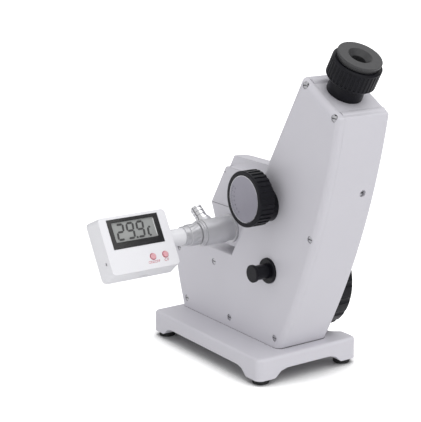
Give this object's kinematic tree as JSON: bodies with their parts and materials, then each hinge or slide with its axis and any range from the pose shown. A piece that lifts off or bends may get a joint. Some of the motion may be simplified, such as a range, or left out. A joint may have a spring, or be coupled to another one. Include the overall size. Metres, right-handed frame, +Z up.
{
  "type": "abbe refractometer",
  "caption": "Benchtop refractometer: slanted housing on a footed base, tilted eyepiece, side handwheels, hinged prism box and a display thermometer on a stem.",
  "frame": {"origin": "on the bench, under the middle of the whole instrument's bounding box", "axes": "+Z up, +X from the prism side towards the user and eyepiece, +Y towards the side with the large index handwheel"},
  "size_m": [0.1974, 0.168, 0.2353],
  "materials": {
    "body_paint": "fine satin light grey enamel",
    "rubber_feet": "matte black rubber",
    "dark_steel": "blackened steel",
    "steel": "turned steel",
    "chrome_plate": "bright chrome plate",
    "satin_aluminium": "satin aluminium",
    "frame_aluminium": "cast aluminium",
    "brass_gears": "cut brass",
    "black_plastic": "satin black moulding",
    "optical_glass": "polished glass",
    "silvered_glass": "silvered glass",
    "white_plastic": "smooth white moulding",
    "black_bezel": "gloss black printed window",
    "display_glass": "grey liquid-crystal glass",
    "pink_buttons": "translucent pink moulding"
  },
  "bodies": {
    "stand": {"base": "body_paint", "feet": "rubber_feet", "foot_screws": "dark_steel", "base_bolts": "dark_steel", "shell": "body_paint", "side_cover": "body_paint", "cover_screws": "dark_steel", "refraction_seat": "body_paint", "refraction_prism": "optical_glass", "hinge_pin": "steel", "clamp_stud": "steel", "seat_nipples": "chrome_plate", "reflector_pin": "steel", "thermometer_socket": "satin_aluminium", "optics_frame": "frame_aluminium", "frame_screws": "dark_steel", "objective_lens": "optical_glass", "rhomboid_prism": "optical_glass", "scale_prism": "optical_glass", "reticle": "optical_glass", "eyepiece_tube": "black_plastic", "dispersion_bush": "black_plastic", "index_bush": "black_plastic", "condenser_flange": "black_plastic"},
    "lid": {"inlet_seat": "body_paint", "inlet_prism": "optical_glass", "inlet_window": "optical_glass", "lid_nipples": "chrome_plate", "shield_pin": "steel"},
    "shield": {"light_shield": "black_plastic"},
    "clamp": {"clamp_wheel": "satin_aluminium"},
    "reflector": {"reflector_frame": "satin_aluminium", "reflector_mirror": "silvered_glass"},
    "dispersion": {"dispersion_wheel": "black_plastic", "dispersion_dial": "satin_aluminium", "dispersion_shaft": "brass_gears"},
    "upper_compensator": {"upper_cell": "brass_gears", "upper_prism": "optical_glass"},
    "lower_compensator": {"lower_cell": "brass_gears", "lower_prism": "optical_glass"},
    "index": {"index_wheel": "black_plastic", "index_shaft": "brass_gears"},
    "scale": {"scale_sector": "brass_gears", "scale_glass": "optical_glass", "swing_mirror": "silvered_glass"},
    "focus": {"focus_ring": "black_plastic", "eye_cup": "black_plastic"},
    "eye_lens": {"eye_lens_cell": "black_plastic", "eye_lenses": "optical_glass"},
    "condenser": {"condenser_tube": "black_plastic", "condenser_lens": "optical_glass"},
    "sight": {"sight_screw": "steel"},
    "collet": {"collet_nut": "satin_aluminium"},
    "thermometer": {"thermometer_stem": "white_plastic", "display_case": "white_plastic", "display_back": "white_plastic", "display_bezel": "black_bezel", "display_panel": "display_glass"},
    "left_key": {"left_button": "pink_buttons"},
    "right_key": {"right_button": "pink_buttons"}
  },
  "joints": [
    {"name": "lid_hinge", "type": "hinge", "parent": "stand", "child": "lid", "pos_m": [-0.02944, 0.06435, 0.1075], "axis": [-1, 0, 0], "range_deg": [0, 95]},
    {"name": "shield_hinge", "type": "hinge", "parent": "lid", "child": "shield", "pos_m": [-0.03841, 0.04255, 0.13286], "axis": [0, 1, 0], "range_deg": [0, 95]},
    {"name": "clamp_turn", "type": "hinge", "parent": "lid", "child": "clamp", "pos_m": [-0.01844, 0.02155, 0.112], "axis": [0, 1, 0], "range_deg": [0, 65]},
    {"name": "reflector_hinge", "type": "hinge", "parent": "stand", "child": "reflector", "pos_m": [-0.04767, 0.04255, 0.083], "axis": [0, -1, 0], "range_deg": [0, 70]},
    {"name": "dispersion_turn", "type": "hinge", "parent": "stand", "child": "dispersion", "pos_m": [0.02026, 0.04255, 0.1273], "axis": [0, 1, 0], "continuous": true},
    {"name": "upper_compensator_turn", "type": "hinge", "parent": "stand", "child": "upper_compensator", "pos_m": [0.02026, 0.04255, 0.1273], "axis": [0.5, 0, 0.866], "continuous": true},
    {"name": "lower_compensator_turn", "type": "hinge", "parent": "stand", "child": "lower_compensator", "pos_m": [0.02026, 0.04255, 0.1273], "axis": [0.5, 0, 0.866], "continuous": true},
    {"name": "index_turn", "type": "hinge", "parent": "stand", "child": "index", "pos_m": [0.00326, 0.04255, 0.0587], "axis": [0, 1, 0], "range_deg": [-105, 105]},
    {"name": "scale_turn", "type": "hinge", "parent": "stand", "child": "scale", "pos_m": [0.00826, 0.04255, 0.10652], "axis": [0, 1, 0], "range_deg": [-13.22, 13.22]},
    {"name": "focus_turn", "type": "hinge", "parent": "stand", "child": "focus", "pos_m": [0.07118, 0.04255, 0.2027], "axis": [0.5, 0, 0.866], "range_deg": [-120, 120]},
    {"name": "eye_lens_slide", "type": "slide", "parent": "stand", "child": "eye_lens", "axis": [0.5, 0, 0.866], "range_m": [-0.00102, 0.00102]},
    {"name": "condenser_turn", "type": "hinge", "parent": "stand", "child": "condenser", "pos_m": [0.02126, 0.02055, 0.074], "axis": [0, 1, 0], "range_deg": [-90, 90]},
    {"name": "sight_screw_turn", "type": "hinge", "parent": "stand", "child": "sight", "pos_m": [0.07576, 0.05235, 0.136], "axis": [1, 0, 0], "range_deg": [-180, 180]},
    {"name": "collet_turn", "type": "hinge", "parent": "stand", "child": "collet", "pos_m": [-0.03124, -0.01645, 0.0924], "axis": [0, 1, 0], "range_deg": [-180, 180]},
    {"name": "thermometer_turn", "type": "hinge", "parent": "stand", "child": "thermometer", "pos_m": [-0.03124, -0.01645, 0.0924], "axis": [0, 1, 0], "range_deg": [-60, 60]},
    {"name": "left_key_press", "type": "slide", "parent": "thermometer", "child": "left_key", "axis": [-0.8572, 0, -0.515], "range_m": [0, 0.0008], "stiffness_N_per_m": 300, "springref_m": -0.0005},
    {"name": "right_key_press", "type": "slide", "parent": "thermometer", "child": "right_key", "axis": [-0.8572, 0, -0.515], "range_m": [0, 0.0008], "stiffness_N_per_m": 300, "springref_m": -0.0005}
  ],
  "couplings": [
    {"joint": "upper_compensator_turn", "follows": "dispersion_turn", "ratio": 0.33333},
    {"joint": "lower_compensator_turn", "follows": "dispersion_turn", "ratio": -0.33333},
    {"joint": "scale_turn", "follows": "index_turn", "ratio": -0.125},
    {"joint": "eye_lens_slide", "follows": "focus_turn", "m_per_rad": 0.00047746}
  ]
}
